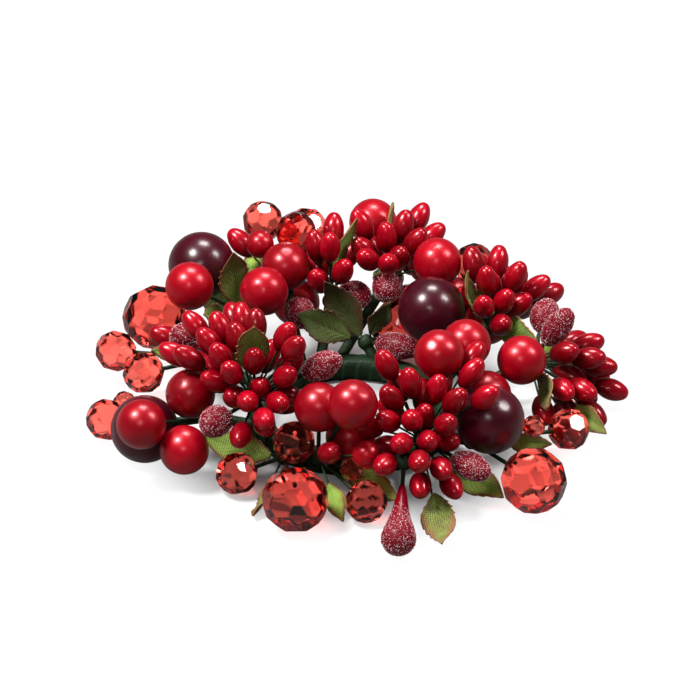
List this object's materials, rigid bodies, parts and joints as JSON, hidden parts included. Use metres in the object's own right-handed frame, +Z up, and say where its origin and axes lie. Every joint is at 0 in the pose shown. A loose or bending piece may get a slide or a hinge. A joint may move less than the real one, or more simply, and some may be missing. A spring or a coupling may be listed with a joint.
{
  "type": "candle ring",
  "caption": "Round candle ring of lacquered berries, faceted beads, clustered pips, frosted buds and cloth leaves on wired stems, bound to a taped ring.",
  "frame": {"origin": "centre of the candle bore, halfway up the taped ring", "axes": "+Z up along the bore, +X to the right and -Y to the front, where the long drop hangs"},
  "size_m": [0.1302, 0.1272, 0.0401],
  "materials": {
    "core_wire": "bare wire",
    "floral_tape": "waxed crepe",
    "taped_stems": "matt",
    "leaf_cloth": "stiffened cloth",
    "red_lacquer": "pearly lacquer",
    "pip_lacquer": "pearly lacquer",
    "dark_lacquer": "high gloss",
    "red_acrylic": "clear, polished",
    "frosted_red": "sugared"
  },
  "bodies": {
    "root": {"front_berries": "red_lacquer", "front_drop_stems": "taped_stems", "front_leaves": "leaf_cloth", "front_left_large_bead": "red_acrylic", "front_left_stems": "taped_stems", "front_right_spray_pips": "pip_lacquer", "front_right_spray_stems": "taped_stems", "front_small_beads": "red_acrylic", "front_stems": "taped_stems", "frosted_buds": "frosted_red", "frosted_drop": "frosted_red", "inner_rear_large_bead": "red_acrylic", "inner_rear_stems": "taped_stems", "left_berries": "red_lacquer", "left_dark_berry": "dark_lacquer", "left_leaves": "leaf_cloth", "left_rear_large_bead": "red_acrylic", "left_rear_stems": "taped_stems", "left_small_beads": "red_acrylic", "left_spray_pips": "pip_lacquer", "left_spray_stems": "taped_stems", "left_stems": "taped_stems", "rear_leaves": "leaf_cloth", "rear_left_berries": "red_lacquer", "rear_left_dark_berry": "dark_lacquer", "rear_left_inner_berries": "red_lacquer", "rear_left_inner_stems": "taped_stems", "rear_left_spray_pips": "pip_lacquer", "rear_left_spray_stems": "taped_stems", "rear_left_stems": "taped_stems", "rear_right_berries": "red_lacquer", "rear_right_dark_berry": "dark_lacquer", "rear_right_stems": "taped_stems", "rear_small_beads": "red_acrylic", "rear_spray_berries": "red_lacquer", "rear_spray_pips": "pip_lacquer", "rear_spray_stems": "taped_stems", "right_front_berries": "red_lacquer", "right_front_dark_berry": "dark_lacquer", "right_front_large_bead": "red_acrylic", "right_front_stems": "taped_stems", "right_inner_berries": "red_lacquer", "right_inner_stems": "taped_stems", "right_leaves": "leaf_cloth", "right_rear_spray_berries": "red_lacquer", "right_rear_spray_pips": "pip_lacquer", "right_rear_spray_stems": "taped_stems", "right_small_beads": "red_acrylic", "right_spray_pips": "pip_lacquer", "right_spray_stems": "taped_stems", "ring_tape": "floral_tape", "ring_wire": "core_wire", "seed_beads": "red_acrylic", "single_pips": "pip_lacquer", "slim_frosted_buds": "frosted_red", "small_berries": "red_lacquer"}
  },
  "joints": []
}
